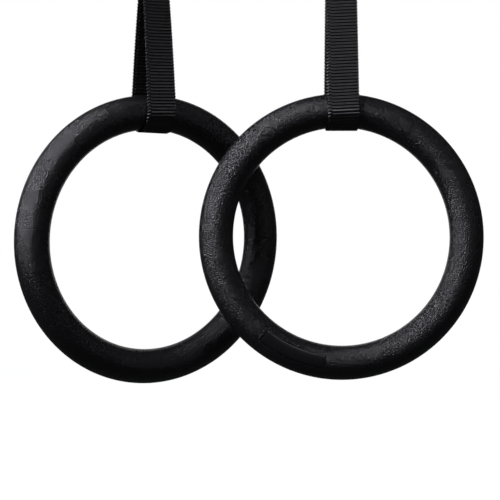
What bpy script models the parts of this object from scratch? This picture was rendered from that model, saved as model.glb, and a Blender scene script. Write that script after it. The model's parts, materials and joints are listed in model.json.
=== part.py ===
"""Pair of gymnastics rings, each hanging in its own webbing strap from a buckle, D-ring and carabiner."""
import bpy
import bmesh
import numpy as np
from math import asin, atan2, cos, hypot, pi, radians, sin, tan
from mathutils import Matrix, Vector

# ---------------------------------------------------------------- dimensions, in millimetres and degrees
MM = 0.001
GAP = 0.3                      # clearance between pieces that touch

RING_R = 103.5                 # circle through the tube's centre
TUBE_R = 14.0                  # tube's outer radius: a 28 mm grip on a 235 mm ring
TUBE_WALL = 3.0
RING_SEGS = 48
BADGE_THICK = 1.2
BADGE_MINOR = 24.0             # half angle round the tube
BADGE_MAJOR = 15.2             # half angle along the ring
BADGE_AT = 24.0                # from the ring's lowest point

WEB_W = 26.0                   # webbing width and thickness
WEB_T = 1.5
BIGHT_R = 15.2 + WEB_T / 2     # webbing's centreline round the tube
LEG_LEAN = 7.5                 # each leg leans in by this much
LEG_CUT = 22.0                 # height of the cut between sling and legs
LAYER = WEB_T / 2 + GAP / 2    # offset of one webbing layer from the middle
SEW_END = 143.0
STRAP_TOP = 214.0

PIN_Y, PIN_H, PIN_R = -8.5, 185.0, 2.5
PLATE_X, PLATE_T = 14.5, 2.0
BAR_Y, BAR_H, BAR_R = -7.0, 205.0, 2.5
DRING_H, DRING_R, DRING_WIRE = 240.0, 16.5, 2.5
WIRE_R = 4.0                   # carabiner wire
LOW_C, LOW_R = (0.0, 266.2), 11.0
TOP_C, TOP_R = (0.0, 311.2), 16.0
GATE_Y, GATE_H = 11.0, 273.0   # gate hinge
NOSE = (15.8, 307.6)
HANG_H = TOP_C[1] + TOP_R - WIRE_R

# one entry per side: hang point, lean of the whole strap over its height, turn of the hardware,
# turn and tilt of the ring, and which face carries the badge
SIDES = {
    "left": {"hang": (0.0, 0.0, 0.0), "lean": (1.0, 3.5), "top_yaw": 38.0, "yaw": 29.7, "tilt": 2.86, "face": 1},
    "right": {"hang": (151.3, 8.6, 2.9), "lean": (-1.5, -2.4), "top_yaw": 5.0, "yaw": 3.8, "tilt": -1.72, "face": -1},
}

for old in list(bpy.data.objects):
    bpy.data.objects.remove(old, do_unlink=True)


# ---------------------------------------------------------------- materials and small helpers
def material(name, color, rough, metal=0.0):
    mat = bpy.data.materials.new(name)
    mat.use_nodes = True
    shader = mat.node_tree.nodes["Principled BSDF"]
    shader.inputs["Base Color"].default_value = (*color, 1.0)
    shader.inputs["Roughness"].default_value = rough
    shader.inputs["Metallic"].default_value = metal
    return mat


LOOKS = {
    "shell": ((0.012, 0.012, 0.013), 0.45, 0.0),
    "badge": ((0.014, 0.014, 0.015), 0.40, 0.0),
    "webbing": ((0.015, 0.015, 0.017), 0.75, 0.0),
    "thread": ((0.02, 0.02, 0.022), 0.7, 0.0),
    "steel": ((0.55, 0.56, 0.58), 0.35, 1.0),
    "spring": ((0.42, 0.42, 0.44), 0.3, 1.0),
}


def empty(name, matrix, parent=None):
    obj = bpy.data.objects.new(name, None)
    obj.empty_display_size = 0.01
    bpy.context.scene.collection.objects.link(obj)
    obj.parent = parent
    obj.matrix_world = matrix
    return obj


def solid(name, look, verts, faces, smooth=True):
    """Make one closed object from millimetre vertices, with its normals facing out."""
    mesh = bpy.data.meshes.new(name)
    mesh.from_pydata([tuple(MM * c for c in v) for v in verts], [], faces)
    bm = bmesh.new()
    bm.from_mesh(mesh)
    bmesh.ops.recalc_face_normals(bm, faces=bm.faces)
    for face in bm.faces:
        face.smooth = smooth
    bm.to_mesh(mesh)
    bm.free()
    obj = bpy.data.objects.new(name, mesh)
    bpy.context.scene.collection.objects.link(obj)
    color, rough, metal = LOOKS[look]
    mesh.materials.append(material(name, color, rough, metal))
    return obj


def place(obj, parent, at=(0.0, 0.0, 0.0)):
    """Parent obj, drawn in the parent's own millimetres, and put its origin at the point given."""
    shift = Vector(at) * MM
    obj.data.transform(Matrix.Translation(-shift))
    obj.parent = parent
    obj.location = shift
    return obj


def boolean(obj, other, how):
    mod = obj.modifiers.new(how.lower(), "BOOLEAN")
    mod.operation = how
    mod.solver = "EXACT"
    mod.object = other
    other.hide_render = True
    other.display_type = "WIRE"
    bpy.context.view_layer.update()
    done = bpy.data.meshes.new_from_object(obj.evaluated_get(bpy.context.evaluated_depsgraph_get()))
    obj.modifiers.clear()
    obj.data = done
    bpy.data.objects.remove(other, do_unlink=True)


def grid_faces(rows, cols, closed_rows, closed_cols):
    faces = []
    for i in range(rows if closed_rows else rows - 1):
        for j in range(cols if closed_cols else cols - 1):
            a, b = i * cols + j, i * cols + (j + 1) % cols
            c, d = ((i + 1) % rows) * cols + (j + 1) % cols, ((i + 1) % rows) * cols + j
            faces.append((a, b, c, d))
    return faces


def ribbon(name, path, closed=False, turn=None):
    """Flat webbing along path, a list of (y, h) points. turn gives its twist at each height."""
    verts, count = [], len(path)
    for i, (y, h) in enumerate(path):
        before = path[i - 1] if i or closed else path[i]
        after = path[(i + 1) % count] if i < count - 1 or closed else path[i]
        dy, dh = after[0] - before[0], after[1] - before[1]
        size = hypot(dy, dh)
        ny, nh = dh / size, -dy / size
        for sx, sn in ((-1, -1), (1, -1), (1, 1), (-1, 1)):
            x, yy = sx * WEB_W / 2, y + sn * ny * WEB_T / 2
            hh = h + sn * nh * WEB_T / 2
            a = radians(turn(hh)) if turn else 0.0
            verts.append((x * cos(a) - yy * sin(a), x * sin(a) + yy * cos(a), hh))
    faces = grid_faces(count, 4, closed, True)
    if not closed:
        faces += [(0, 1, 2, 3), tuple(4 * (count - 1) + k for k in (0, 1, 2, 3))]
    return solid(name, "webbing", verts, faces, smooth=False)


def tube(name, look, path, radius, sides=12, closed=False):
    """Round wire along a list of 3-D points."""
    points = [Vector(p) for p in path]
    count = len(points)
    tangents = []
    for i in range(count):
        before = points[i - 1] if i or closed else points[i]
        after = points[(i + 1) % count] if i < count - 1 or closed else points[i]
        tangents.append((after - before).normalized())
    side = tangents[0].orthogonal().normalized()
    if abs(tangents[0].x) < 0.9:
        side = (Vector((1, 0, 0)) - tangents[0] * tangents[0].x).normalized()
    verts = []
    for point, along in zip(points, tangents):
        side = (side - along * side.dot(along)).normalized()
        other = along.cross(side)
        for k in range(sides):
            a = 2 * pi * k / sides
            verts.append(tuple(point + radius * (cos(a) * side + sin(a) * other)))
    faces = grid_faces(count, sides, closed, True)
    if not closed:
        faces += [tuple(range(sides)), tuple((count - 1) * sides + k for k in range(sides))]
    return solid(name, look, verts, faces)


def prism(name, look, outline, x0, x1, smooth=False):
    """Push a (y, h) outline along X."""
    n = len(outline)
    verts = [(x, y, h) for x in (x0, x1) for y, h in outline]
    faces = [tuple(range(n)), tuple(range(n, 2 * n))]
    faces += [(k, (k + 1) % n, n + (k + 1) % n, n + k) for k in range(n)]
    return solid(name, look, verts, faces, smooth)


def rod_x(name, look, y, h, radius, x0, x1, sides=24):
    outline = [(y + radius * cos(2 * pi * k / sides), h + radius * sin(2 * pi * k / sides)) for k in range(sides)]
    return prism(name, look, outline, x0, x1)


def arc(center, radius, start, end, steps):
    angles = [radians(start + (end - start) * k / steps) for k in range(steps + 1)]
    return [(center[0] + radius * cos(a), center[1] + radius * sin(a)) for a in angles]


# ---------------------------------------------------------------- the ring
def half_shell(name, front):
    """Half of the hollow tube. The front half is on local -Y."""
    side = -1.0 if front else 1.0
    inner = TUBE_R - TUBE_WALL
    outer_start, inner_start = asin(GAP / 2 / TUBE_R), asin(GAP / 2 / inner)
    section = [(TUBE_R, outer_start + (pi - 2 * outer_start) * k / 8) for k in range(9)]
    section += [(inner, pi - inner_start - (pi - 2 * inner_start) * k / 5) for k in range(6)]
    verts = []
    for i in range(RING_SEGS):
        big = 2 * pi * i / RING_SEGS
        for r, a in section:
            rho = RING_R + r * cos(a)
            verts.append((rho * sin(big), side * r * sin(a), rho * cos(big)))
    return solid(name, "shell", verts, grid_faces(RING_SEGS, len(section), True, True))


def pad(name, front, low, high, grow):
    """A curved slab that follows the tube between two radii, on its front or back face."""
    side = -1.0 if front else 1.0
    minor = radians(BADGE_MINOR) + grow / TUBE_R
    major = radians(BADGE_MAJOR) + grow / RING_R
    middle = pi + side * -1.0 * radians(BADGE_AT)
    rows, cols = 9, 5
    verts = []
    for r in (low, high):
        for i in range(rows):
            big = middle + major * (2 * i / (rows - 1) - 1)
            for j in range(cols):
                a = pi / 2 + minor * (2 * j / (cols - 1) - 1)
                rho = RING_R + r * cos(a)
                verts.append((rho * sin(big), side * r * sin(a), rho * cos(big)))
    n = rows * cols
    faces = grid_faces(rows, cols, False, False)
    faces += [tuple(n + k for k in face) for face in grid_faces(rows, cols, False, False)]
    rim = [j for j in range(cols)] + [i * cols + cols - 1 for i in range(1, rows)]
    rim += [(rows - 1) * cols + j for j in range(cols - 2, -1, -1)] + [i * cols for i in range(rows - 2, 0, -1)]
    faces += [(rim[k], rim[(k + 1) % len(rim)], n + rim[(k + 1) % len(rim)], n + rim[k]) for k in range(len(rim))]
    return solid(name, "badge", verts, faces)


def build_ring(side, spec, parent):
    badge_front = spec["face"] < 0
    for which, front in (("front", True), ("back", False)):
        shell = half_shell(f"{side}_ring_{which}_shell", front)
        if front == badge_front:
            boolean(shell, pad("recess", badge_front, TUBE_R - BADGE_THICK - GAP, TUBE_R + 2.0, GAP), "DIFFERENCE")
        place(shell, parent)
    place(pad(f"{side}_ring_badge", badge_front, TUBE_R - BADGE_THICK, TUBE_R - 0.02, 0.0), parent)


# ---------------------------------------------------------------- the webbing
def leg_line(sign):
    """Leg centreline from the cut up to where the two layers lie together."""
    lean = radians(LEG_LEAN)
    start = (BIGHT_R * cos(lean), BIGHT_R * sin(lean))
    top = start[1] + (start[0] - LAYER) / tan(lean)
    steps = 10
    heights = [LEG_CUT + GAP + (top - LEG_CUT - GAP) * k / steps for k in range(steps + 1)]
    return [(sign * (start[0] - (h - start[1]) * tan(lean)), h) for h in heights]


def build_webbing(side, spec, top, sling_at):
    lean = radians(LEG_LEAN)
    reach = BIGHT_R * cos(lean) - (LEG_CUT - BIGHT_R * sin(lean)) * tan(lean)
    bight = arc((0, 0), BIGHT_R, 180 - LEG_LEAN, 360 + LEG_LEAN, 20)
    place(ribbon(f"{side}_sling", [(-reach, LEG_CUT), *bight, (reach, LEG_CUT)]), sling_at)

    meet = leg_line(1)[-1][1]
    twist = spec["yaw"] - spec["top_yaw"]

    def turn(h):
        return twist * min(1.0, max(0.0, (meet - h) / (meet - LEG_CUT)))

    front = leg_line(-1) + [(-LAYER, SEW_END)]
    back = leg_line(1) + [(LAYER, SEW_END), (LAYER, STRAP_TOP)]
    place(ribbon(f"{side}_front_leg", front, turn=turn), top)
    place(ribbon(f"{side}_strap", back, turn=turn), top)
    seam = -LAYER - WEB_T / 2 - GAP
    place(cross_seam(f"{side}_strap_stitching", meet + 4, SEW_END - 3, seam, 0.0), top)


def cross_seam(name, low, high, y, slope, half=10.0):
    """One flat body of thread: a box with a cross in it. slope leans it in y as it climbs."""
    w, t = 0.9, 0.5

    def bar(x0, h0, x1, h1, inset):
        d = Vector((x1 - x0, h1 - h0)).normalized() * w / 2
        n = Vector((-d.y, d.x))
        a, b = Vector((x0, h0)) - d, Vector((x1, h1)) + d
        ring = [a - n, b - n, b + n, a + n]
        verts = [(p.x, y - depth + slope * (p.y - low), p.y) for depth in (inset, t - inset) for p in ring]
        return verts, [(0, 1, 2, 3), (4, 5, 6, 7), (0, 1, 5, 4), (1, 2, 6, 5), (2, 3, 7, 6), (3, 0, 4, 7)]

    lines = [(-half, low, half, low), (-half, high, half, high), (-half, low, -half, high), (half, low, half, high),
             (-half, low, half, high), (-half, high, half, low)]
    seam = solid(name, "thread", *bar(*lines[0], 0.0), smooth=False)
    for k, line in enumerate(lines[1:]):
        boolean(seam, solid("bar", "thread", *bar(*line, 0.02 + 0.02 * k), smooth=False), "UNION")
    return seam


def build_top_loop(side, top):
    """A closed strip round the buckle's bar and the D-ring, its two layers sewn together between them."""
    low, high = Vector((BAR_Y, BAR_H)), Vector((0.0, DRING_H))
    along = (high - low).normalized()
    across = Vector((along.y, -along.x))
    length = (high - low).length
    eye = BAR_R + GAP + WEB_T / 2
    path = []
    for end, sign in ((0.0, -1), (length, 1)):
        start = -110 if sign > 0 else 70
        for k in range(13):
            a = radians(start + 220 * k / 12) if sign > 0 else radians(start + 220 * k / 12)
            path.append((end + eye * cos(a), eye * sin(a)))
        if sign < 0:
            path += [(8.0, -LAYER), (length - 8.0, -LAYER)]
    path += [(length - 8.0, LAYER), (8.0, LAYER)]
    points = [low + along * s + across * n for s, n in path]
    place(ribbon(f"{side}_top_loop", [(p.x, p.y) for p in points], closed=True), top)
    slope = along.x / along.y
    base = low + along * 10.5 - across * (LAYER + WEB_T / 2 + GAP)
    place(cross_seam(f"{side}_loop_stitching", base.y, base.y + 14.5, base.x, slope), top)


# ---------------------------------------------------------------- buckle, D-ring and carabiner
def coil(radius, pitch, turns, x0, y, h, steps=12):
    return [(x0 + pitch * k / steps, y + radius * cos(2 * pi * k / steps), h + radius * sin(2 * pi * k / steps))
            for k in range(int(turns * steps) + 1)]


def build_buckle(side, top, cam_at):
    outline = [(-13.0, 166.0), (-10.0, 165.0), (3.4, 165.0), (4.4, 166.0), (4.4, 208.0), (-1.0, 212.0), (-9.0, 212.0),
               (-12.5, 208.0), (-14.0, 196.0), (-14.0, 170.0)]
    frame = prism(f"{side}_buckle_frame", "steel", outline, PLATE_X, PLATE_X + PLATE_T)
    boolean(frame, prism("plate", "steel", outline, -PLATE_X - PLATE_T, -PLATE_X), "UNION")
    base = [(1.95, 167.0), (3.95, 167.0), (3.95, 198.0), (1.95, 198.0)]
    boolean(frame, prism("base", "steel", base, -PLATE_X - 1, PLATE_X + 1), "UNION")
    boolean(frame, rod_x("bar", "steel", BAR_Y, BAR_H, BAR_R, -PLATE_X - 1, PLATE_X + 1), "UNION")
    boolean(frame, rod_x("bore", "steel", PIN_Y, PIN_H, PIN_R + 0.05, -20, 20, 32), "DIFFERENCE")
    place(frame, top)
    place(rod_x(f"{side}_cam_pin", "steel", PIN_Y, PIN_H, PIN_R, -PLATE_X - PLATE_T - 1, PLATE_X + PLATE_T + 1, 32), top,
          (0, PIN_Y, PIN_H))

    profile = []
    for k in range(23):                                          # teeth: the radius grows towards the top
        a = -25.0 + 75.0 * k / 22
        r = 8.35 + a / 50.0 - (0.0 if k % 2 else 0.7)
        profile.append((r * cos(radians(a)), r * sin(radians(a))))
    profile += arc((0, 0), 6.0, 80, 160, 5)
    profile += [(-8.8, -1.5), (-9.2, -8.0), (-9.0, -24.0), (-7.6, -26.4), (-6.2, -25.6), (-5.9, -9.0)]
    profile += arc((0, 0), 6.0, 235, 300, 4)
    cam = prism(f"{side}_cam_lever", "steel", [(PIN_Y + y, PIN_H + h) for y, h in profile], -14.1, 10.8)
    boolean(cam, rod_x("bore", "steel", PIN_Y, PIN_H, PIN_R + 0.1, -20, 20, 32), "DIFFERENCE")
    place(cam, cam_at)
    wire = coil(3.3, 0.8, 3, 11.35, PIN_Y, PIN_H)
    wire += [(13.85, PIN_Y + 3.3, PIN_H - 4.0)]
    place(tube(f"{side}_cam_spring", "spring", wire, 0.3, 6), top, (0, PIN_Y, PIN_H))


def build_dring(side, parent):
    bow_h = 262.0 - DRING_R
    path = [(x, y) for x, y in arc((0, bow_h), DRING_R, 0, 180, 28)]
    path += arc((-DRING_R + 3, DRING_H + 3), 3.0, 180, 270, 6) + arc((DRING_R - 3, DRING_H + 3), 3.0, 270, 360, 6)
    place(tube(f"{side}_d_ring", "steel", [(x, 0.0, h) for x, h in path], DRING_WIRE, 20, closed=True), parent)


def build_carabiner(side, parent, gate_at):
    shoulder = GATE_H - 6.0
    path = [(GATE_Y, shoulder)] + arc(LOW_C, LOW_R, 0, -180, 20) + arc(TOP_C, TOP_R, 180, 0, 28) + [NOSE]
    frame = tube(f"{side}_carabiner_frame", "steel", [(0.0, y, h) for y, h in path], WIRE_R, 20)
    tang = [(GATE_Y - 3.0, shoulder - 2.0), (GATE_Y + 3.0, shoulder - 2.0), (GATE_Y + 3.0, GATE_H + 2.0),
            (GATE_Y + 1.6, GATE_H + 3.2), (GATE_Y - 1.6, GATE_H + 3.2), (GATE_Y - 3.0, GATE_H + 2.0)]
    boolean(frame, prism("tang", "steel", tang, -1.5, 1.5), "UNION")
    boolean(frame, rod_x("bore", "steel", GATE_Y, GATE_H, 1.55, -6, 6), "DIFFERENCE")
    place(frame, parent)
    place(rod_x(f"{side}_gate_pin", "steel", GATE_Y, GATE_H, 1.5, -4.2, 4.2), parent, (0, GATE_Y, GATE_H))

    run = Vector((NOSE[0] - 0.2 - GATE_Y, NOSE[1] - GATE_H)).normalized()
    length = (NOSE[1] - GATE_H) / run.y - 0.9

    def on_gate(s, n=0.0):
        return (GATE_Y + run.x * s + run.y * n, GATE_H + run.y * s - run.x * n)

    gate = tube(f"{side}_carabiner_gate", "steel", [(0.0, *on_gate(s)) for s in (-4.2, 8, 20, length)], WIRE_R, 20)
    slot = [on_gate(s, n) for s, n in ((-8, -6), (6, -6), (6, 6), (-8, 6))]
    boolean(gate, prism("slot", "steel", slot, -1.8, 1.8), "DIFFERENCE")
    boolean(gate, rod_x("bore", "steel", GATE_Y, GATE_H, 1.55, -6, 6), "DIFFERENCE")
    bore = tube("hole", "steel", [(0.0, *on_gate(s)) for s in (4.0, 20.0)], 2.2, 14)
    boolean(gate, bore, "DIFFERENCE")
    place(gate, gate_at)
    wire = []
    for k in range(6 * 8 + 1):
        a, s = 2 * pi * k / 8, 7.5 + 1.9 * k / 8
        y, h = on_gate(s, 1.5 * sin(a))
        wire.append((1.5 * cos(a), y, h))
    place(tube(f"{side}_gate_spring", "spring", wire, 0.35, 5), gate_at)


# ---------------------------------------------------------------- both sides
for side, spec in SIDES.items():
    hang = Vector(spec["hang"])
    lean_x, lean_y = spec["lean"]
    up = Vector((lean_x, lean_y, (HANG_H ** 2 - lean_x ** 2 - lean_y ** 2) ** 0.5)).normalized()
    ring_top = hang - HANG_H * up
    across = Vector((cos(radians(spec["top_yaw"])), sin(radians(spec["top_yaw"])), 0.0))
    across = (across - up * across.dot(up)).normalized()
    back = up.cross(across)
    frame_top = Matrix((across, back, up)).transposed().to_4x4()
    frame_top.translation = ring_top * MM
    yaw = Matrix.Rotation(radians(spec["yaw"]), 4, "Z")
    ring_turn = yaw @ Matrix.Rotation(radians(spec["tilt"]), 4, "X")
    ring_middle = ring_top - ring_turn.to_3x3() @ Vector((0.0, 0.0, RING_R))

    top = empty(f"{side}_strap_frame", frame_top)
    cam_at = empty(f"{side}_cam_axis", frame_top @ Matrix.Translation(Vector((0, PIN_Y, PIN_H)) * MM), top)
    gate_at = empty(f"{side}_gate_axis", frame_top @ Matrix.Translation(Vector((0, GATE_Y, GATE_H)) * MM), top)
    sling_at = empty(f"{side}_sling_axis", Matrix.Translation(ring_top * MM) @ yaw)
    ring_at = empty(f"{side}_ring_axis", Matrix.Translation(ring_middle * MM) @ ring_turn)

    build_ring(side, spec, ring_at)
    build_webbing(side, spec, top, sling_at)
    build_top_loop(side, top)
    build_buckle(side, top, cam_at)
    build_dring(side, top)
    build_carabiner(side, top, gate_at)
    for holder, y, h in ((cam_at, PIN_Y, PIN_H), (gate_at, GATE_Y, GATE_H)):
        for child in holder.children:
            child.location -= Vector((0.0, y, h)) * MM

bpy.context.view_layer.update()
for obj in list(bpy.data.objects):
    if obj.type == "MESH":
        bm = bmesh.new()
        bm.from_mesh(obj.data)
        bmesh.ops.remove_doubles(bm, verts=bm.verts, dist=1e-6)
        bm.to_mesh(obj.data)
        bm.free()
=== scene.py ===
"""Looks for a pair of gymnastics rings: grained grips, ribbed webbing, stitching and plated hardware."""

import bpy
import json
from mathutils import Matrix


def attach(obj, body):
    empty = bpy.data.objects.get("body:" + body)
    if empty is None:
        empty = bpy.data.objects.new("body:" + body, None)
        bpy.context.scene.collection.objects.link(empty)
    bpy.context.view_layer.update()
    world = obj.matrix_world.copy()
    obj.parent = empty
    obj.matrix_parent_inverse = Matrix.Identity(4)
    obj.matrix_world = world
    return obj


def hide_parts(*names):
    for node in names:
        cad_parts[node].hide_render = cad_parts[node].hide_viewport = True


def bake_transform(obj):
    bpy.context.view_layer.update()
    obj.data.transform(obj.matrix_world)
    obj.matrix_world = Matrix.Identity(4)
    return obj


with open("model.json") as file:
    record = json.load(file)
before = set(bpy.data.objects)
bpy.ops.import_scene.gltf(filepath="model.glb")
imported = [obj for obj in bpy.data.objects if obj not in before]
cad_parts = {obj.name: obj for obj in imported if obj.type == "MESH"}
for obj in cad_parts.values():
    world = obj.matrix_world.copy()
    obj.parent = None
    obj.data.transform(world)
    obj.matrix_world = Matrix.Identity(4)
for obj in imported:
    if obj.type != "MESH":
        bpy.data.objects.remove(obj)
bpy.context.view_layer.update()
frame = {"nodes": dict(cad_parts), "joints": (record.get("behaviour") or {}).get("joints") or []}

import json
from math import cos, degrees, pi, radians, sin, sqrt, tan

import bmesh
import bpy
from bpy.props import FloatProperty, FloatVectorProperty, PointerProperty
from mathutils import Matrix, Vector

bl_info = {
    "name": "Gymnastics Rings",
    "version": (1, 0, 0),
    "blender": (4, 5, 0),
    "location": "View3D > Sidebar > Rings",
    "description": "Builds the grips, webbing, stitching and hardware of a pair of gymnastics rings",
    "category": "Object",
}

MM = 0.001
SIDES = ("left", "right")
JOINTS = {joint["name"]: joint for joint in frame["joints"]}

# These sizes are in millimetres and angles in degrees, unless a comment says otherwise.
RING_R, TUBE_R, TUBE_WALL = 103.5, 14.0, 3.0
PARTING_GAP = 0.3
EASE_DEEP, EASE_LONG = 0.2, 0.35              # rounding of a shell's edge at the parting line
TURN_STEPS, ARC_STEPS, BORE_STEPS = 180, 26, 10   # mesh steps round the grip, its tube and its bore
BADGE_THICK, BADGE_MINOR, BADGE_MAJOR, BADGE_AT = 1.2, 23.5, 15.2, 24.0
BADGE_FACE = {"left": 1.0, "right": -1.0}     # +1 is the ring's back face, -1 its front
RECESS_SPARE = 0.2                            # the recess's floor lies this far under the badge
WALL_MINOR, WALL_MAJOR = 0.018, 0.0024        # radians over which the recess's wall falls
CLEAR_MINOR, CLEAR_MAJOR = 0.03, 0.012        # radians kept free of mesh lines at that wall
GAP_MINOR, GAP_MAJOR = 0.012, 0.0018          # radians left open round the badge
BADGE_SUNK, BADGE_EASE = 0.14, 0.18           # the badge's top under the grain, and its edge's fall
FLAT_MINOR, FLAT_MAJOR = 0.93, 0.985          # part of the badge's half width and length that is flat
BADGE_ROWS, BADGE_COLS = 41, 17
NUDGE = 1e-6                                  # radians of slack when angles are compared
WEB_T = 1.5                                   # thickness of the webbing
BIGHT_R, LEG_LEAN = 15.95, 7.5                # the webbing's middle under the tube, and its two legs' lean
LEG_CUT = 22.0                                # below this height the webbing is turned fully with the grip
LAYER = 0.9                                   # half the spacing of the two strands' middles
SEW_END, STRAP_TOP = 143.0, 214.0             # heights of the sewn end and of the strap's end in the buckle
BAR_Y, BAR_H, BAR_R = -7.0, 205.0, 2.5
DRING_H = 240.0
# Room round the bar inside the top loop, how far its straight runs start from the eyes, and steps in each eye.
LOOP_SPARE, LOOP_STRAIGHT, LOOP_STEPS = 0.3, 8.0, 14


# ---------------------------------------------------------------- where things are
def ring_frame(side):
    """Matrix of the ring's own axes: origin at its middle, Z towards the sling, Y through the hole."""
    spin, twist = JOINTS[f"{side}_ring_spin"], JOINTS[f"{side}_strap_twist"]
    middle, back = Vector(spin["pos_m"]), Vector(spin["axis"]).normalized()
    up = (Vector(twist["pos_m"]) - middle).normalized()
    matrix = Matrix((back.cross(up), back, up)).transposed().to_4x4()
    matrix.translation = middle
    return matrix


def strap_frame(side):
    """Matrix of the strap's own axes: origin at the tube's middle under the sling, Z up the strap."""
    up = Vector(JOINTS[f"{side}_strap_slide"]["axis"]).normalized()
    across = Vector(JOINTS[f"{side}_fore_swing"]["axis"]).normalized()
    matrix = Matrix((across, up.cross(across), up)).transposed().to_4x4()
    matrix.translation = Vector(JOINTS[f"{side}_strap_twist"]["pos_m"])
    return matrix


def sling_twist(side):
    """How far the sling is turned from the buckle, in degrees."""
    ring, strap = ring_frame(side), strap_frame(side)
    turn = (strap.inverted() @ ring).to_3x3() @ Vector((1.0, 0.0, 0.0))
    return -degrees(Vector((1.0, 0.0)).angle_signed(turn.xy))


def closed_mesh(name, verts, faces, matrix, material, uvs=None):
    """An object from millimetre vertices in the given axes, with its normals facing out."""
    mesh = bpy.data.meshes.new(name)
    mesh.from_pydata([tuple(matrix @ (Vector(v) * MM)) for v in verts], [], faces)
    if uvs:
        layer = mesh.uv_layers.new(name="strip")
        for loop in mesh.loops:
            layer.data[loop.index].uv = uvs[loop.vertex_index]
    bm = bmesh.new()
    bm.from_mesh(mesh)
    bmesh.ops.recalc_face_normals(bm, faces=bm.faces)
    for face in bm.faces:
        face.smooth = True
    bm.to_mesh(mesh)
    bm.free()
    mesh.materials.append(material)
    piece = bpy.data.objects.new(name, mesh)
    bpy.context.scene.collection.objects.link(piece)
    return piece


def lattice(rows, cols, wrap_rows, wrap_cols):
    """Faces between rows of points, joined round at either end where asked."""
    faces = []
    for i in range(rows if wrap_rows else rows - 1):
        for j in range(cols if wrap_cols else cols - 1):
            below, right = (i + 1) % rows, (j + 1) % cols
            faces.append((i * cols + j, i * cols + right, below * cols + right, below * cols + j))
    return faces


# ---------------------------------------------------------------- materials
def grained_plastic(name, colour, grain, depth):
    """Moulded plastic with a fine leather grain. grain is the size of one pebble in metres."""
    mat = bpy.data.materials.new(name)
    mat.use_nodes = True
    nodes, links = mat.node_tree.nodes, mat.node_tree.links
    nodes.clear()

    coords = nodes.new("ShaderNodeTexCoord")
    coords.label = "Place on the grip"
    coords.location = (-1500, 0)

    relief = nodes.new("NodeFrame")
    relief.label = "Leather grain"
    wobble = nodes.new("ShaderNodeTexNoise")
    wobble.label = "Bends the pebbles' outlines"
    wobble.location = (-1280, -120)
    wobble.inputs["Scale"].default_value = 0.6 / grain
    wobble.inputs["Detail"].default_value = 1.0
    shift = nodes.new("ShaderNodeVectorMath")
    shift.label = "Amount of bending"
    shift.operation = "MULTIPLY_ADD"
    shift.location = (-1080, -60)
    shift.inputs[1].default_value = (0.6 * grain, 0.6 * grain, 0.6 * grain)
    pebbles = nodes.new("ShaderNodeTexVoronoi")
    pebbles.label = "Pebbles"
    pebbles.feature = "F1"
    pebbles.location = (-880, 60)
    pebbles.inputs["Scale"].default_value = 1.0 / grain
    pebbles.inputs["Randomness"].default_value = 1.0
    fine = nodes.new("ShaderNodeTexNoise")
    fine.label = "Fine tooth between pebbles"
    fine.location = (-880, -260)
    fine.inputs["Scale"].default_value = 2.2 / grain
    fine.inputs["Detail"].default_value = 3.0
    height = nodes.new("ShaderNodeMath")
    height.label = "Pebble height with tooth"
    height.operation = "MULTIPLY_ADD"
    height.location = (-640, 0)
    height.inputs[1].default_value = 0.55
    bump = nodes.new("ShaderNodeBump")
    bump.label = "Raise the grain"
    bump.location = (-400, -160)
    bump.invert = True
    bump.inputs["Strength"].default_value = 1.0
    bump.inputs["Distance"].default_value = depth
    for node in (wobble, shift, pebbles, fine, height, bump):
        node.parent = relief

    wear = nodes.new("NodeFrame")
    wear.label = "Uneven sheen from handling"
    patches = nodes.new("ShaderNodeTexNoise")
    patches.label = "Polished patches"
    patches.location = (-880, 420)
    patches.inputs["Scale"].default_value = 45.0
    patches.inputs["Detail"].default_value = 4.0
    gloss = nodes.new("ShaderNodeMapRange")
    gloss.label = "Patch to roughness"
    gloss.location = (-640, 420)
    gloss.inputs["From Min"].default_value = 0.3
    gloss.inputs["From Max"].default_value = 0.7
    gloss.inputs["To Min"].default_value = 0.23
    gloss.inputs["To Max"].default_value = 0.32
    tone = nodes.new("ShaderNodeMix")
    tone.label = "Tone of the plastic"
    tone.data_type = "RGBA"
    tone.location = (-400, 420)
    tone.inputs["A"].default_value = (*colour, 1.0)
    tone.inputs["B"].default_value = (*[1.6 * c for c in colour], 1.0)
    for node in (patches, gloss, tone):
        node.parent = wear

    shader = nodes.new("ShaderNodeBsdfPrincipled")
    shader.label = "Black moulded plastic"
    shader.location = (-100, 100)
    shader.inputs["IOR"].default_value = 1.5
    shader.inputs["Specular IOR Level"].default_value = 0.5
    out = nodes.new("ShaderNodeOutputMaterial")
    out.label = "Surface"
    out.location = (220, 100)

    links.new(coords.outputs["Object"], wobble.inputs["Vector"])
    links.new(wobble.outputs["Color"], shift.inputs[0])
    links.new(coords.outputs["Object"], shift.inputs[2])
    links.new(shift.outputs["Vector"], pebbles.inputs["Vector"])
    links.new(coords.outputs["Object"], fine.inputs["Vector"])
    links.new(fine.outputs["Fac"], height.inputs[0])
    links.new(pebbles.outputs["Distance"], height.inputs[2])
    links.new(height.outputs["Value"], bump.inputs["Height"])
    links.new(coords.outputs["Object"], patches.inputs["Vector"])
    links.new(patches.outputs["Fac"], gloss.inputs["Value"])
    links.new(patches.outputs["Fac"], tone.inputs["Factor"])
    links.new(tone.outputs["Result"], shader.inputs["Base Color"])
    links.new(gloss.outputs["Result"], shader.inputs["Roughness"])
    links.new(bump.outputs["Normal"], shader.inputs["Normal"])
    links.new(shader.outputs["BSDF"], out.inputs["Surface"])
    return mat


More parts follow.
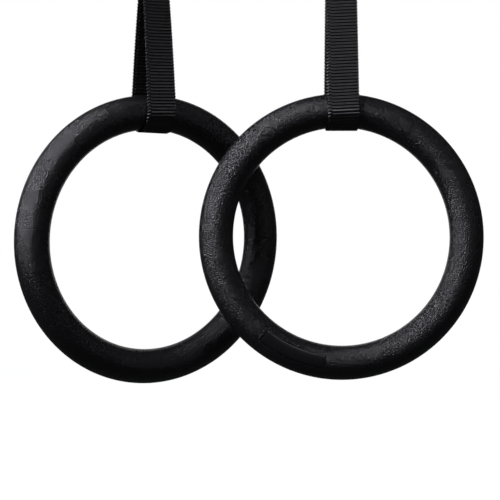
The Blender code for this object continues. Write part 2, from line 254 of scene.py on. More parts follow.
def smooth_plastic(name, colour):
    """The blank pad let into each grip: satin, with faint moulding ripples."""
    mat = bpy.data.materials.new(name)
    mat.use_nodes = True
    nodes, links = mat.node_tree.nodes, mat.node_tree.links
    nodes.clear()

    coords = nodes.new("ShaderNodeTexCoord")
    coords.label = "Place on the pad"
    coords.location = (-1000, 0)
    relief = nodes.new("NodeFrame")
    relief.label = "Moulding ripple"
    ripple = nodes.new("ShaderNodeTexNoise")
    ripple.label = "Slow ripple"
    ripple.location = (-760, -120)
    ripple.inputs["Scale"].default_value = 160.0
    ripple.inputs["Detail"].default_value = 2.0
    bump = nodes.new("ShaderNodeBump")
    bump.label = "Raise the ripple"
    bump.location = (-400, -160)
    bump.inputs["Strength"].default_value = 0.35
    bump.inputs["Distance"].default_value = 0.0002
    gloss = nodes.new("ShaderNodeMapRange")
    gloss.label = "Ripple to roughness"
    gloss.location = (-400, 120)
    gloss.inputs["To Min"].default_value = 0.34
    gloss.inputs["To Max"].default_value = 0.44
    for node in (ripple, bump, gloss):
        node.parent = relief
    shader = nodes.new("ShaderNodeBsdfPrincipled")
    shader.label = "Smooth black plastic"
    shader.location = (-100, 100)
    shader.inputs["Base Color"].default_value = (*colour, 1.0)
    out = nodes.new("ShaderNodeOutputMaterial")
    out.label = "Surface"
    out.location = (220, 100)

    links.new(coords.outputs["Object"], ripple.inputs["Vector"])
    links.new(ripple.outputs["Fac"], bump.inputs["Height"])
    links.new(ripple.outputs["Fac"], gloss.inputs["Value"])
    links.new(gloss.outputs["Result"], shader.inputs["Roughness"])
    links.new(bump.outputs["Normal"], shader.inputs["Normal"])
    links.new(shader.outputs["BSDF"], out.inputs["Surface"])
    return mat


def woven_nylon(name, colour, yarn):
    """Nylon webbing. Its ribs are in the mesh; this adds the yarns, which follow the strip."""
    mat = bpy.data.materials.new(name)
    mat.use_nodes = True
    nodes, links = mat.node_tree.nodes, mat.node_tree.links
    nodes.clear()

    coords = nodes.new("ShaderNodeTexCoord")
    coords.label = "Along and across the strip"
    coords.location = (-1500, 0)

    relief = nodes.new("NodeFrame")
    relief.label = "Yarns over each rib"
    yarns = nodes.new("ShaderNodeTexWave")
    yarns.label = "Warp yarns side by side"
    yarns.wave_type = "BANDS"
    yarns.bands_direction = "X"
    yarns.wave_profile = "SIN"
    yarns.location = (-1160, 100)
    yarns.inputs["Scale"].default_value = 0.314 / yarn
    yarns.inputs["Distortion"].default_value = 0.6
    yarns.inputs["Detail"].default_value = 1.0
    fibres = nodes.new("ShaderNodeTexNoise")
    fibres.label = "Filaments and stray fibres"
    fibres.location = (-1160, -240)
    fibres.inputs["Scale"].default_value = 2600.0
    fibres.inputs["Detail"].default_value = 3.0
    height = nodes.new("ShaderNodeMath")
    height.label = "Yarn height with fibres"
    height.operation = "MULTIPLY_ADD"
    height.location = (-860, 0)
    height.inputs[1].default_value = 0.3
    bump = nodes.new("ShaderNodeBump")
    bump.label = "Raise the yarns"
    bump.location = (-400, -200)
    bump.inputs["Strength"].default_value = 0.8
    bump.inputs["Distance"].default_value = 0.00007
    for node in (yarns, fibres, height, bump):
        node.parent = relief

    shade = nodes.new("NodeFrame")
    shade.label = "Dye and dust"
    patches = nodes.new("ShaderNodeTexNoise")
    patches.label = "Uneven dye"
    patches.location = (-1160, 460)
    patches.inputs["Scale"].default_value = 240.0
    patches.inputs["Detail"].default_value = 4.0
    tone = nodes.new("ShaderNodeMix")
    tone.label = "Nylon tone"
    tone.data_type = "RGBA"
    tone.location = (-400, 420)
    tone.inputs["A"].default_value = (*colour, 1.0)
    tone.inputs["B"].default_value = (*[2.0 * c for c in colour], 1.0)
    for node in (patches, tone):
        node.parent = shade

    shader = nodes.new("ShaderNodeBsdfPrincipled")
    shader.label = "Black nylon"
    shader.location = (-100, 100)
    shader.inputs["Roughness"].default_value = 0.34
    shader.inputs["Specular IOR Level"].default_value = 0.62
    shader.inputs["Anisotropic"].default_value = 0.95
    lie = nodes.new("ShaderNodeTangent")
    lie.label = "Filaments run along the strip"
    lie.direction_type = "UV_MAP"
    lie.location = (-400, -480)
    out = nodes.new("ShaderNodeOutputMaterial")
    out.label = "Surface"
    out.location = (220, 100)

    links.new(lie.outputs["Tangent"], shader.inputs["Tangent"])
    links.new(coords.outputs["UV"], yarns.inputs["Vector"])
    links.new(coords.outputs["Object"], fibres.inputs["Vector"])
    links.new(fibres.outputs["Fac"], height.inputs[0])
    links.new(yarns.outputs["Fac"], height.inputs[2])
    links.new(height.outputs["Value"], bump.inputs["Height"])
    links.new(coords.outputs["Object"], patches.inputs["Vector"])
    links.new(patches.outputs["Fac"], tone.inputs["Factor"])
    links.new(tone.outputs["Result"], shader.inputs["Base Color"])
    links.new(bump.outputs["Normal"], shader.inputs["Normal"])
    links.new(shader.outputs["BSDF"], out.inputs["Surface"])
    return mat


def sewing_thread(name, colour):
    """Twisted polyester thread."""
    mat = bpy.data.materials.new(name)
    mat.use_nodes = True
    nodes, links = mat.node_tree.nodes, mat.node_tree.links
    nodes.clear()

    coords = nodes.new("ShaderNodeTexCoord")
    coords.label = "Place on the seam"
    coords.location = (-1000, 0)
    relief = nodes.new("NodeFrame")
    relief.label = "Twist of the thread"
    plies = nodes.new("ShaderNodeTexWave")
    plies.label = "Plies"
    plies.bands_direction = "DIAGONAL"
    plies.location = (-760, -80)
    plies.inputs["Scale"].default_value = 900.0
    plies.inputs["Distortion"].default_value = 1.5
    bump = nodes.new("ShaderNodeBump")
    bump.label = "Raise the plies"
    bump.location = (-400, -160)
    bump.inputs["Strength"].default_value = 0.6
    bump.inputs["Distance"].default_value = 0.00007
    # The thread's colour is darker in the grooves between plies, where the ply bump sinks: painted shade.
    tone = nodes.new("ShaderNodeMix")
    tone.label = "Thread tone with painted shade between plies"
    tone.data_type = "RGBA"
    tone.location = (-400, 200)
    tone.inputs["A"].default_value = (*colour, 1.0)
    tone.inputs["B"].default_value = (*[1.8 * c for c in colour], 1.0)
    for node in (plies, bump, tone):
        node.parent = relief
    shader = nodes.new("ShaderNodeBsdfPrincipled")
    shader.label = "Black thread"
    shader.location = (-100, 100)
    shader.inputs["Roughness"].default_value = 0.5
    out = nodes.new("ShaderNodeOutputMaterial")
    out.label = "Surface"
    out.location = (220, 100)

    links.new(coords.outputs["Object"], plies.inputs["Vector"])
    links.new(plies.outputs["Fac"], bump.inputs["Height"])
    # Painted shade: the plies that raise the bump also set the colour, darker in their grooves.
    links.new(plies.outputs["Fac"], tone.inputs["Factor"])
    links.new(tone.outputs["Result"], shader.inputs["Base Color"])
    links.new(bump.outputs["Normal"], shader.inputs["Normal"])
    links.new(shader.outputs["BSDF"], out.inputs["Surface"])
    return mat


def plated_steel(name, colour, streak, low, high):
    """Zinc plated steel. streak stretches the grain of the plating; low and high bound its roughness."""
    mat = bpy.data.materials.new(name)
    mat.use_nodes = True
    nodes, links = mat.node_tree.nodes, mat.node_tree.links
    nodes.clear()

    coords = nodes.new("ShaderNodeTexCoord")
    coords.label = "Place on the metal"
    coords.location = (-1500, 0)

    finish = nodes.new("NodeFrame")
    finish.label = "Grain of the plating"
    stretch = nodes.new("ShaderNodeMapping")
    stretch.label = "Draw the grain out"
    stretch.location = (-1280, -60)
    stretch.inputs["Scale"].default_value = (1.0, 1.0, 1.0 / streak)
    grain = nodes.new("ShaderNodeTexNoise")
    grain.label = "Fine streaks"
    grain.location = (-1040, -60)
    grain.inputs["Scale"].default_value = 1800.0
    grain.inputs["Detail"].default_value = 4.0
    gloss = nodes.new("ShaderNodeMapRange")
    gloss.label = "Streaks to roughness"
    gloss.location = (-700, 60)
    gloss.inputs["From Min"].default_value = 0.3
    gloss.inputs["From Max"].default_value = 0.7
    gloss.inputs["To Min"].default_value = low
    gloss.inputs["To Max"].default_value = high
    bump = nodes.new("ShaderNodeBump")
    bump.label = "Raise the streaks"
    bump.location = (-400, -200)
    bump.inputs["Strength"].default_value = 0.3
    bump.inputs["Distance"].default_value = 0.00005
    for node in (stretch, grain, gloss, bump):
        node.parent = finish

    wear = nodes.new("NodeFrame")
    wear.label = "Dulled patches"
    clouds = nodes.new("ShaderNodeTexNoise")
    clouds.label = "Oxide clouds"
    clouds.location = (-1040, 420)
    clouds.inputs["Scale"].default_value = 130.0
    clouds.inputs["Detail"].default_value = 5.0
    tone = nodes.new("ShaderNodeMix")
    tone.label = "Bright to dull"
    tone.data_type = "RGBA"
    tone.location = (-400, 420)
    tone.inputs["A"].default_value = (*colour, 1.0)
    tone.inputs["B"].default_value = (*[0.7 * c for c in colour], 1.0)
    for node in (clouds, tone):
        node.parent = wear

    shader = nodes.new("ShaderNodeBsdfPrincipled")
    shader.label = "Plated steel"
    shader.location = (-100, 100)
    shader.inputs["Metallic"].default_value = 1.0
    out = nodes.new("ShaderNodeOutputMaterial")
    out.label = "Surface"
    out.location = (220, 100)

    links.new(coords.outputs["Object"], stretch.inputs["Vector"])
    links.new(stretch.outputs["Vector"], grain.inputs["Vector"])
    links.new(grain.outputs["Fac"], gloss.inputs["Value"])
    links.new(grain.outputs["Fac"], bump.inputs["Height"])
    links.new(coords.outputs["Object"], clouds.inputs["Vector"])
    links.new(clouds.outputs["Fac"], tone.inputs["Factor"])
    links.new(tone.outputs["Result"], shader.inputs["Base Color"])
    links.new(gloss.outputs["Result"], shader.inputs["Roughness"])
    links.new(bump.outputs["Normal"], shader.inputs["Normal"])
    links.new(shader.outputs["BSDF"], out.inputs["Surface"])
    return mat


def studio_paper(name, colour, glow):
    """Matt paper of the floor and backdrop, with a faint tooth."""
    mat = bpy.data.materials.new(name)
    mat.use_nodes = True
    nodes, links = mat.node_tree.nodes, mat.node_tree.links
    nodes.clear()
    coords = nodes.new("ShaderNodeTexCoord")
    coords.label = "Place on the paper"
    coords.location = (-900, 0)
    tooth = nodes.new("ShaderNodeTexNoise")
    tooth.label = "Paper tooth"
    tooth.location = (-660, 0)
    tooth.inputs["Scale"].default_value = 400.0
    bump = nodes.new("ShaderNodeBump")
    bump.label = "Raise the tooth"
    bump.location = (-400, -100)
    bump.inputs["Strength"].default_value = 0.05
    shader = nodes.new("ShaderNodeBsdfPrincipled")
    shader.label = "Paper"
    shader.location = (-100, 100)
    shader.inputs["Base Color"].default_value = (*colour, 1.0)
    shader.inputs["Roughness"].default_value = 0.9
    shader.inputs["Specular IOR Level"].default_value = 0.0
    shader.inputs["Emission Color"].default_value = (1.0, 1.0, 1.0, 1.0)
    shader.inputs["Emission Strength"].default_value = glow
    out = nodes.new("ShaderNodeOutputMaterial")
    out.label = "Surface"
    out.location = (220, 100)
    links.new(coords.outputs["Object"], tooth.inputs["Vector"])
    links.new(tooth.outputs["Fac"], bump.inputs["Height"])
    links.new(bump.outputs["Normal"], shader.inputs["Normal"])
    links.new(shader.outputs["BSDF"], out.inputs["Surface"])
    return mat


# ---------------------------------------------------------------- shapes
def grip_shell(side, which, material):
    """Half of a grip's hollow tube, with an eased edge at the parting line and the badge's recess."""
    face = -1.0 if which == "front" else 1.0
    recessed = face == BADGE_FACE[side]
    edge = PARTING_GAP / 2
    start, lip = edge / TUBE_R, EASE_LONG / TUBE_R
    arc = [start + lip + (pi - 2 * (start + lip)) * k / ARC_STEPS for k in range(ARC_STEPS + 1)]
    low, high = pi / 2 - radians(BADGE_MINOR), pi / 2 + radians(BADGE_MINOR)
    arc = sorted([a for a in arc if min(abs(a - low), abs(a - high)) > CLEAR_MINOR]
                 + [low - WALL_MINOR, low, high, high + WALL_MINOR])
    middle = pi - face * radians(BADGE_AT)
    first, last = middle - radians(BADGE_MAJOR), middle + radians(BADGE_MAJOR)
    turns = [2 * pi * k / TURN_STEPS for k in range(TURN_STEPS)]
    turns = sorted([t for t in turns if min(abs(t - first), abs(t - last)) > CLEAR_MAJOR]
                   + [first - WALL_MAJOR, first, last, last + WALL_MAJOR])
    inner_start = edge / (TUBE_R - TUBE_WALL)
    bore = [pi - inner_start - (pi - 2 * inner_start) * k / BORE_STEPS for k in range(BORE_STEPS + 1)]
    verts = []
    for big in turns:
        inside_run = first - NUDGE <= big <= last + NUDGE
        section = [(TUBE_R - EASE_DEEP, start)]
        for a in arc:
            sunk = recessed and inside_run and low - NUDGE <= a <= high + NUDGE
            section.append((TUBE_R - (BADGE_THICK + RECESS_SPARE if sunk else 0.0), a))
        section.append((TUBE_R - EASE_DEEP, pi - start))
        section += [(TUBE_R - TUBE_WALL, a) for a in bore]
        for r, a in section:
            rho = RING_R + r * cos(a)
            verts.append((rho * sin(big), face * r * sin(a), rho * cos(big)))
    cols = len(verts) // len(turns)
    faces = lattice(len(turns), cols, True, True)
    piece = closed_mesh(f"{side}_grip_{which}", verts, faces, ring_frame(side), material)
    piece.data.set_sharp_from_angle(angle=radians(38))
    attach(piece, f"{side}_ring")
    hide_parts(f"{side}_ring_{which}_shell")


def grip_badge(side, material):
    """The smooth blank pad, a little below the grained surface, with eased edges."""
    face = BADGE_FACE[side]
    minor, major = radians(BADGE_MINOR) - GAP_MINOR, radians(BADGE_MAJOR) - GAP_MAJOR
    middle = pi - face * radians(BADGE_AT)
    top = TUBE_R - BADGE_SUNK
    rows, cols = BADGE_ROWS, BADGE_COLS
    verts = []
    for i in range(rows):
        v = 2 * i / (rows - 1) - 1
        for j in range(cols):
            u = 2 * j / (cols - 1) - 1
            fall = max(0.0, abs(u) - FLAT_MINOR) / (1.0 - FLAT_MINOR)
            fall += max(0.0, abs(v) - FLAT_MAJOR) / (1.0 - FLAT_MAJOR)
            r = top - BADGE_EASE * min(1.0, fall)
            big, a = middle + major * v, pi / 2 + minor * u
            rho = RING_R + r * cos(a)
            verts.append((rho * sin(big), face * r * sin(a), rho * cos(big)))
    count = rows * cols
    for i in range(rows):
        for j in range(cols):
            big = middle + major * (2 * i / (rows - 1) - 1)
            a = pi / 2 + minor * (2 * j / (cols - 1) - 1)
            r = TUBE_R - BADGE_THICK
            rho = RING_R + r * cos(a)
            verts.append((rho * sin(big), face * r * sin(a), rho * cos(big)))
    faces = lattice(rows, cols, False, False)
    faces += [tuple(count + k for k in quad) for quad in faces]
    rim = list(range(cols)) + [i * cols + cols - 1 for i in range(1, rows)]
    rim += [(rows - 1) * cols + j for j in range(cols - 2, -1, -1)] + [i * cols for i in range(rows - 2, 0, -1)]
    loop = len(rim)
    faces += [(rim[k], rim[(k + 1) % loop], count + rim[(k + 1) % loop], count + rim[k]) for k in range(loop)]
    piece = closed_mesh(f"{side}_grip_badge", verts, faces, ring_frame(side), material)
    piece.data.set_sharp_from_angle(angle=radians(50))
    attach(piece, f"{side}_ring")
    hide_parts(f"{side}_ring_badge")


SOFTENING = 10                 # times a path is eased at its corners


def resample(path, step, closed=False):
    """Points at equal steps along a polyline of 2-D points, softened at its corners."""
    points = [Vector(p) for p in path]
    if closed:
        points.append(points[0].copy())
    lengths = [0.0]
    for a, b in zip(points, points[1:]):
        lengths.append(lengths[-1] + (b - a).length)
    count = max(8, round(lengths[-1] / step))
    out, k = [], 0
    for i in range(count if closed else count + 1):
        s = lengths[-1] * i / count
        while k < len(lengths) - 2 and lengths[k + 1] < s:
            k += 1
        span = max(1e-9, lengths[k + 1] - lengths[k])
        out.append(points[k].lerp(points[k + 1], (s - lengths[k]) / span))
    for _ in range(SOFTENING):
        soft = [p.copy() for p in out]
        for i in range(len(out)):
            if closed or 0 < i < len(out) - 1:
                soft[i] = (out[i - 1] + 2 * out[i] + out[(i + 1) % len(out)]) / 4
        out = soft
    return out, lengths[-1] / count


RIB_ROWS = 8                   # mesh rows in one rib
SKEW = 0.052                   # slope of the ribs across the strip
KNIT_IN, KNIT_OUT = 9.6, 10.5  # the ribs step into the knitted edge between these, on -X
KNIT_STEP, KNIT_LEAN, KNIT_WIDE = 0.45, 0.2, 2.5   # that step and lean, in ribs, and the edge's width
TURN_IN, CREASE = 11.9, 0.2    # crease along the turned edge, on +X, and its depth and half width
ROUND_IN, ROUND_LONG = 12.2, 0.82   # the strip's edges round off from here, over this far
ROUND_LEAST = 0.03             # least share of the rounding's square, which keeps the edge open
EDGE_IN, EDGE_DRAW = 12.0, 0.045    # the edges draw in between ribs, by this part of the half width
WEDGE, SWELL = 0.65, 0.35      # shares of a straight and a round flank in a rib's shape
LEAST_T = 0.06                 # least half thickness anywhere
UV_BACK = 0.03                 # metres between the front face's and back face's places on the UV map
# Mesh lines across the 26 mm webbing, closer together at its two edges.
ACROSS = (-13.0, -12.9, -12.6, -12.2, -11.8, -11.3, -10.8, -10.5, -10.2, -9.9, -9.6, -8.8, -7.0, -4.7, -2.3, 0.0,
          2.7, 5.4, 8.0, 10.6, 11.5, 11.75, 11.9, 12.05, 12.3, 12.6, 12.9, 13.0)


def rib_phase(x, phase, pitch):
    """Phase of the ribs at x across the webbing: they lean, and step back in the knitted edge."""
    phase += SKEW * x / pitch
    phase += KNIT_STEP * min(1.0, max(0.0, (-x - KNIT_IN) / (KNIT_OUT - KNIT_IN)))
    return phase - KNIT_LEAN * max(0.0, -x - KNIT_OUT) / KNIT_WIDE


def rib_height(x, phase, depth):
    """Half thickness of the webbing at x across it, at a phase of its ribs there."""
    crease = max(0.0, 1.0 - abs(x - TURN_IN) / CREASE)
    fall = 2.0 * abs((phase + 0.5) % 1.0 - 0.5)              # 0 on a rib's crest, 1 in the groove
    height = WEB_T / 2 - depth * (WEDGE * fall + SWELL * sin(pi * phase) ** 2) - CREASE * crease
    out = abs(x)
    if out > ROUND_IN:
        height *= sqrt(max(ROUND_LEAST, 1.0 - ((out - ROUND_IN) / ROUND_LONG) ** 2))
    return max(LEAST_T, height)


def ribbed_strip(name, path, matrix, material, pitch, depth, closed=False, turn=None):
    """Ribbed webbing along a path of (y, h) points in the strap's axes."""
    centre, step = resample(path, pitch / RIB_ROWS, closed)
    count = len(centre)
    ribs = round(count / RIB_ROWS)
    verts, uvs = [], []
    for i, point in enumerate(centre):
        before = centre[i - 1] if i or closed else point
        after = centre[(i + 1) % count] if i < count - 1 or closed else point
        along = (after - before).normalized()
        normal = Vector((along.y, -along.x))
        phase = ribs * i / count if closed else i / RIB_ROWS
        for face in (1, -1):
            order = ACROSS if face > 0 else ACROSS[::-1]
            for x in order:
                here = rib_phase(x, phase, pitch)
                lift = face * rib_height(x, here, depth)
                y, h = point.x + normal.x * lift, point.y + normal.y * lift
                wide = x * (1.0 - EDGE_DRAW * sin(pi * here) ** 2) if abs(x) > EDGE_IN else x
                a = radians(turn(h)) if turn else 0.0
                verts.append((wide * cos(a) - y * sin(a), wide * sin(a) + y * cos(a), h))
                uvs.append((x * MM + UV_BACK * (face < 0), i * step * MM))
    cols = 2 * len(ACROSS)
    faces = lattice(count, cols, closed, True)
    if not closed:
        faces += [tuple(range(cols)), tuple((count - 1) * cols + k for k in range(cols))]
    return closed_mesh(name, verts, faces, matrix, material, uvs=uvs)


def arc_points(centre, radius, start, end, steps):
    """Points along an arc from the start angle to the end angle."""
    angles = [radians(start + (end - start) * k / steps) for k in range(steps + 1)]
    return [(centre[0] + radius * cos(a), centre[1] + radius * sin(a)) for a in angles]


def strap_webbing(side, material, pitch, depth):
    """One strip: sewn end, front leg, sling under the grip, back leg and on up through the buckle."""
    lean = radians(LEG_LEAN)
    tangent = (BIGHT_R * cos(lean), BIGHT_R * sin(lean))
    meet = tangent[1] + (tangent[0] - LAYER) / tan(lean)
    path = [(-LAYER, SEW_END), (-LAYER, meet)] + arc_points((0, 0), BIGHT_R, 180 - LEG_LEAN, 360 + LEG_LEAN, 24)
    path += [(LAYER, meet), (LAYER, STRAP_TOP)]
    twist = sling_twist(side)

    def turn(h):
        return twist * min(1.0, max(0.0, (meet - h) / (meet - LEG_CUT)))

    matrix = strap_frame(side)
    piece = ribbed_strip(f"{side}_webbing", path, matrix, material, pitch, depth, turn=turn)
    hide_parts(f"{side}_strap", f"{side}_front_leg", f"{side}_sling")
    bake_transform(piece)


def loop_path():
    """The top loop round the buckle's bar and the D-ring, and the frame its seam lies in."""
    low, high = Vector((BAR_Y, BAR_H)), Vector((0.0, DRING_H))
    along = (high - low).normalized()
    across = Vector((along.y, -along.x))
    length = (high - low).length
    eye = BAR_R + LOOP_SPARE + WEB_T / 2
    path = arc_points((0.0, 0.0), eye, 70, 290, LOOP_STEPS)
    path += [(LOOP_STRAIGHT, -LAYER), (length - LOOP_STRAIGHT, -LAYER)]
    path += arc_points((length, 0.0), eye, -110, 110, LOOP_STEPS)
    path += [(length - LOOP_STRAIGHT, LAYER), (LOOP_STRAIGHT, LAYER)]
    return [tuple(low + along * s + across * n) for s, n in path], low, along, across, length


def top_webbing(side, material, pitch, depth):
    """The closed loop of webbing that joins the buckle to the D-ring."""
    path = loop_path()[0]
    piece = ribbed_strip(f"{side}_loop_webbing", path, strap_frame(side), material, pitch, depth, closed=True)
    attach(piece, f"{side}_hanger")
    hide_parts(f"{side}_top_loop")


STITCH_PITCH, THREAD_R = 2.1, 0.33
THREAD_SIDES = 8
STITCH_FROM, STITCH_TO = 0.12, 0.88   # part of each pitch that its stitch covers
# Along one stitch: how far, how fat in thread radii, and how high over the webbing.
STITCH_SHAPE = ((0.0, 0.35, -0.15), (0.12, 0.8, 0.05), (0.35, 1.0, 0.16), (0.65, 1.0, 0.16),
                (0.88, 0.8, 0.05), (1.0, 0.35, -0.15))


def seam(name, matrix, lines, place, material):
    """Lock stitches along lines across the webbing. place(x, s, face) gives a point on its surface."""
    verts, faces = [], []
    for face in (-1.0, 1.0):
        for (x0, s0), (x1, s1) in lines:
            start, run = Vector((x0, s0)), Vector((x1 - x0, s1 - s0))
            count = max(2, round(run.length / STITCH_PITCH))
            for k in range(count):
                a, b = start + run * ((k + STITCH_FROM) / count), start + run * ((k + STITCH_TO) / count)
                ends = [Vector(place(p.x, p.y, face)) for p in (a, b)]
                out = (Vector(place(a.x, a.y, 1.0)) - Vector(place(a.x, a.y, -1.0))).normalized() * face
                along = (ends[1] - ends[0]).normalized()
                aside = along.cross(out)
                first = len(verts)
                for t, fat, rise in STITCH_SHAPE:
                    centre = ends[0].lerp(ends[1], t) + out * rise
                    for n in range(THREAD_SIDES):
                        angle = 2 * pi * n / THREAD_SIDES
                        offset = aside * cos(angle) + out * sin(angle)
                        verts.append(tuple(centre + offset * THREAD_R * fat))
                quads = lattice(len(STITCH_SHAPE), THREAD_SIDES, False, True)
                faces += [tuple(first + i for i in quad) for quad in quads]
                last = len(verts) - THREAD_SIDES
                faces += [tuple(range(first, first + THREAD_SIDES)), tuple(range(last, len(verts)))]
    return closed_mesh(name, verts, faces, matrix, material)


BOX_HALF = 9.4                        # half width of a sewn box
BOX_LOW, BOX_HIGH = 119.5, 139.5      # heights of the strap's box
BOX_END = 10.8                        # distance of the top loop's box from the bar and from the D-ring


def box_and_cross(half, low, high):
    """Lines of a sewn box with a cross in it, as pairs of (x, s) ends."""
    return [((-half, low), (half, low)), ((-half, high), (half, high)), ((-half, low), (-half, high)),
            ((half, low), (half, high)), ((-half, low), (half, high)), ((-half, high), (half, low))]


def strap_seam(side, material):
    """Seam that closes the strap's loop round the grip."""
    def place(x, s, face):
        return (x, face * (LAYER + WEB_T / 2), s)

    lines = box_and_cross(BOX_HALF, BOX_LOW, BOX_HIGH)
    piece = seam(f"{side}_strap_seam", strap_frame(side), lines, place, material)
    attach(piece, f"{side}_strap_body")
    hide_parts(f"{side}_strap_stitching")


def loop_seam(side, material):
    """Seam that closes the top loop between the buckle and the D-ring."""
    low, along, across, length = loop_path()[1:]

    def place(x, s, face):
        p = low + along * s + across * face * (LAYER + WEB_T / 2)
        return (x, p.x, p.y)

    lines = box_and_cross(BOX_HALF, BOX_END, length - BOX_END)
    piece = seam(f"{side}_loop_seam", strap_frame(side), lines, place, material)
    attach(piece, f"{side}_hanger")
    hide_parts(f"{side}_loop_stitching")


# ---------------------------------------------------------------- settings
class GripSettings(bpy.types.PropertyGroup):
    colour: FloatVectorProperty(name="Grip colour", description="Colour of the moulded plastic",
                                default=(0.0025, 0.0024, 0.003), size=3, subtype="COLOR", min=0.0, max=1.0)
    grain: FloatProperty(name="Grain size", description="Size of one pebble of the grain",
                         default=0.00108, min=0.0003, max=0.005, unit="LENGTH", precision=5)
    depth: FloatProperty(name="Grain depth", description="Height of the grain",
                         default=0.00052, min=0.0, max=0.003, unit="LENGTH", precision=5)


class WebbingSettings(bpy.types.PropertyGroup):
    colour: FloatVectorProperty(name="Webbing colour", description="Colour of the nylon",
                                default=(0.0009, 0.0008, 0.001), size=3, subtype="COLOR", min=0.0, max=1.0)
    pitch: FloatProperty(name="Rib spacing", description="Distance from rib to rib",
                         default=0.00264, min=0.001, max=0.01, unit="LENGTH", precision=5)
    depth: FloatProperty(name="Rib depth", description="How far the grooves between ribs sink",
                         default=0.00062, min=0.0, max=0.00068, unit="LENGTH", precision=5)


class HardwareSettings(bpy.types.PropertyGroup):
    colour: FloatVectorProperty(name="Steel colour", description="Colour of the plated steel",
                                default=(0.56, 0.57, 0.58), size=3, subtype="COLOR", min=0.0, max=1.0)


class StageSettings(bpy.types.PropertyGroup):
    drop: FloatProperty(name="Floor drop", description="Height of the grips above the floor",
                        default=0.55, min=0.0, max=3.0, unit="LENGTH")
    key: FloatProperty(name="Key light", description="Strength of the large light at the upper left",
                       default=30.0, min=0.0, max=2000.0, unit="POWER")
    fill: FloatProperty(name="Fill light", description="Strength of the small light at the lower left",
                        default=0.3, min=0.0, max=2000.0, unit="POWER")
    top: FloatProperty(name="Top light", description="Strength of the small light at the upper right",
                       default=2.5, min=0.0, max=2000.0, unit="POWER")
    rim: FloatProperty(name="Rim light", description="Strength of the light behind the rings",
                       default=6.0, min=0.0, max=2000.0, unit="POWER")
    room: FloatProperty(name="Room light", description="Strength of the dim light from all round",
                        default=0.05, min=0.0, max=1.0)
    lens: FloatProperty(name="Lens", description="Focal length of the camera, in millimetres",
                        default=114.05, min=20.0, max=300.0)


# ---------------------------------------------------------------- operators
class RINGS_OT_grips(bpy.types.Operator):
    """Build both grips: two half shells and a blank pad each"""
    bl_idname = "rings.grips"
    bl_label = "Build Grips"

    def execute(self, context):
        settings = context.scene.rings_grip
        plastic = grained_plastic("grained_plastic", tuple(settings.colour), settings.grain, settings.depth)
        plain = smooth_plastic("smooth_plastic", tuple(settings.colour))
        for side in SIDES:
            for which in ("front", "back"):
                grip_shell(side, which, plastic)
            grip_badge(side, plain)
        return {"FINISHED"}


class RINGS_OT_webbing(bpy.types.Operator):
    """Weave the straps and the top loops"""
    bl_idname = "rings.webbing"
    bl_label = "Build Webbing"

    def execute(self, context):
        settings = context.scene.rings_webbing
        yarn = 0.0009
        nylon = woven_nylon("woven_nylon", tuple(settings.colour), yarn)
        for side in SIDES:
            strap_webbing(side, nylon, settings.pitch / MM, settings.depth / MM)
            top_webbing(side, nylon, settings.pitch / MM, settings.depth / MM)
        return {"FINISHED"}


class RINGS_OT_seams(bpy.types.Operator):
    """Sew the straps and the top loops"""
    bl_idname = "rings.seams"
    bl_label = "Sew Seams"

    def execute(self, context):
        thread = sewing_thread("sewing_thread", (0.016, 0.016, 0.018))
        for side in SIDES:
            strap_seam(side, thread)
            loop_seam(side, thread)
        return {"FINISHED"}


class RINGS_OT_hardware(bpy.types.Operator):
    """Finish the buckles, D-rings and carabiners"""
    bl_idname = "rings.hardware"
    bl_label = "Finish Hardware"

    def execute(self, context):
        colour = tuple(context.scene.rings_hardware.colour)
        sheet_steel = plated_steel("plated_sheet", colour, 6.0, 0.28, 0.42)
        wire_steel = plated_steel("plated_wire", colour, 2.0, 0.2, 0.32)
        spring_steel = plated_steel("spring_wire", tuple(0.75 * c for c in colour), 1.0, 0.25, 0.4)
        finishes = {"buckle_frame": sheet_steel, "cam_lever": sheet_steel, "cam_pin": wire_steel,
                    "cam_spring": spring_steel, "d_ring": wire_steel, "carabiner_frame": wire_steel,
                    "carabiner_gate": wire_steel, "gate_pin": wire_steel, "gate_spring": spring_steel}
        for side in SIDES:
            for piece, finish in finishes.items():
                node = frame["nodes"][f"{side}_{piece}"]
                for holder in node.material_slots:
                    holder.material = finish
                if piece in ("buckle_frame", "cam_lever", "cam_pin", "gate_pin"):
                    ease = node.modifiers.new("Eased edges", "BEVEL")
                    ease.width = 0.4 * MM
                    ease.segments = 2
                    ease.limit_method = "ANGLE"
                    ease.angle_limit = radians(40)
                    ease.harden_normals = False
        return {"FINISHED"}


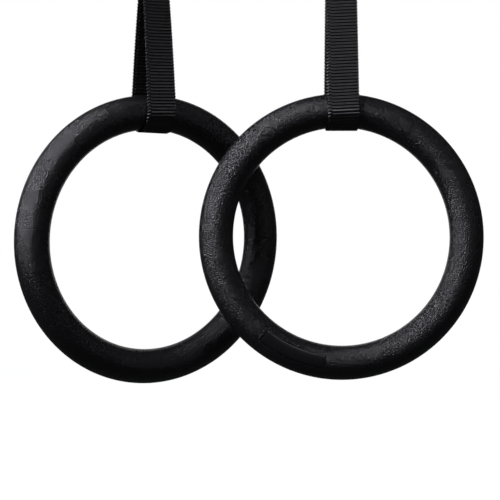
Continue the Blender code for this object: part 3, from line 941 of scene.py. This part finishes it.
class RINGS_OT_stage(bpy.types.Operator):
    """Set up the floor, backdrop, lights and camera"""
    bl_idname = "rings.stage"
    bl_label = "Set Up Stage"

    def execute(self, context):
        settings = context.scene.rings_stage
        scene = context.scene
        left, right = ring_frame("left").translation, ring_frame("right").translation
        middle = (left + right) / 2
        floor_z = middle.z - settings.drop

        mesh = bpy.data.meshes.new("floor")
        reach = 6.0
        corners = [(-reach, -reach, 0.0), (reach, -reach, 0.0), (reach, reach, 0.0), (-reach, reach, 0.0)]
        mesh.from_pydata(corners, [], [(0, 1, 2, 3)])
        mesh.materials.append(studio_paper("studio_paper", (0.9, 0.9, 0.9), 0.95))
        floor = bpy.data.objects.new("floor", mesh)
        floor.location = (middle.x, middle.y, floor_z)
        floor.visible_glossy = False
        floor.visible_diffuse = False
        scene.collection.objects.link(floor)

        world = bpy.data.worlds.new("studio")
        world.use_nodes = True
        scene.world = world
        scene.view_settings.view_transform = "Standard"
        nodes, links = world.node_tree.nodes, world.node_tree.links
        nodes.clear()
        ray = nodes.new("ShaderNodeLightPath")
        ray.label = "Seen straight on"
        ray.location = (-500, 200)
        dim = nodes.new("ShaderNodeBackground")
        dim.label = "Dark room round the rings"
        dim.location = (-500, -60)
        dim.inputs["Color"].default_value = (0.9, 0.93, 1.0, 1.0)
        dim.inputs["Strength"].default_value = settings.room
        paper = nodes.new("ShaderNodeBackground")
        paper.label = "White backdrop"
        paper.location = (-500, -220)
        paper.inputs["Color"].default_value = (1.0, 1.0, 1.0, 1.0)
        paper.inputs["Strength"].default_value = 1.0
        choose = nodes.new("ShaderNodeMixShader")
        choose.label = "Backdrop or room"
        choose.location = (-200, 0)
        out = nodes.new("ShaderNodeOutputWorld")
        out.label = "World"
        out.location = (40, 0)
        links.new(ray.outputs["Is Camera Ray"], choose.inputs[0])
        links.new(dim.outputs["Background"], choose.inputs[1])
        links.new(paper.outputs["Background"], choose.inputs[2])
        links.new(choose.outputs["Shader"], out.inputs["Surface"])

        softboxes = (("key", (-0.95, -0.55, 0.80), 0.42, settings.key, (0.93, 0.91, 1.0)),
                     ("fill", (-0.75, -1.0, -0.2), 0.5, settings.fill, (0.94, 0.92, 1.0)),
                     ("top", (0.75, -0.75, 1.0), 0.5, settings.top, (0.94, 0.92, 1.0)),
                     ("rim", (0.0, 2.4, 0.25), 1.7, settings.rim, (1.0, 1.0, 1.0)))
        for name, offset, size, power, colour in softboxes:
            light = bpy.data.lights.new(name, "AREA")
            light.shape = "DISK"
            light.size = size
            light.energy = power
            light.color = colour
            holder = bpy.data.objects.new(name, light)
            holder.location = middle + Vector(offset)
            holder.rotation_mode = "QUATERNION"
            holder.rotation_quaternion = (middle - holder.location).to_track_quat("-Z", "Y")
            holder.visible_camera = False
            scene.collection.objects.link(holder)

        lens = bpy.data.cameras.new("camera")
        lens.lens = settings.lens
        lens.sensor_width = 36.0
        lens.clip_end = 50.0
        camera = bpy.data.objects.new("camera", lens)
        aside, back, below = 0.0811, 1.300, 0.0083
        camera.location = (left.x + aside, right.y - back, left.z - below)
        camera.rotation_euler = (radians(90), 0.0, 0.0)
        scene.collection.objects.link(camera)
        scene.camera = camera
        return {"FINISHED"}


class RINGS_PT_panel(bpy.types.Panel):
    """Builds the rings piece by piece"""
    bl_idname = "RINGS_PT_panel"
    bl_label = "Gymnastics Rings"
    bl_space_type = "VIEW_3D"
    bl_region_type = "UI"
    bl_category = "Rings"

    def draw(self, context):
        scene = context.scene
        for title, settings, fields, operator in (
                ("Grips", scene.rings_grip, ("colour", "grain", "depth"), "rings.grips"),
                ("Webbing", scene.rings_webbing, ("colour", "pitch", "depth"), "rings.webbing"),
                ("Seams", None, (), "rings.seams"),
                ("Hardware", scene.rings_hardware, ("colour",), "rings.hardware"),
                ("Stage", scene.rings_stage, ("drop", "key", "fill", "top", "rim", "room", "lens"), "rings.stage")):
            box = self.layout.box()
            box.label(text=title)
            for field in fields:
                box.prop(settings, field)
            box.operator(operator)


SETTINGS = (("rings_grip", GripSettings), ("rings_webbing", WebbingSettings),
            ("rings_hardware", HardwareSettings), ("rings_stage", StageSettings))
OPERATORS = (RINGS_OT_stage, RINGS_OT_grips, RINGS_OT_webbing, RINGS_OT_seams, RINGS_OT_hardware)


def register():
    for name, settings in SETTINGS:
        bpy.utils.register_class(settings)
        setattr(bpy.types.Scene, name, PointerProperty(type=settings))
    for operator in OPERATORS:
        bpy.utils.register_class(operator)
    bpy.utils.register_class(RINGS_PT_panel)


def unregister():
    bpy.utils.unregister_class(RINGS_PT_panel)
    for operator in reversed(OPERATORS):
        bpy.utils.unregister_class(operator)
    for name, settings in reversed(SETTINGS):
        delattr(bpy.types.Scene, name)
        bpy.utils.unregister_class(settings)


def main():
    register()
    bpy.ops.rings.stage()
    bpy.ops.rings.grips()
    bpy.ops.rings.webbing()
    bpy.ops.rings.seams()
    bpy.ops.rings.hardware()


if __name__ == "__main__":
    main()
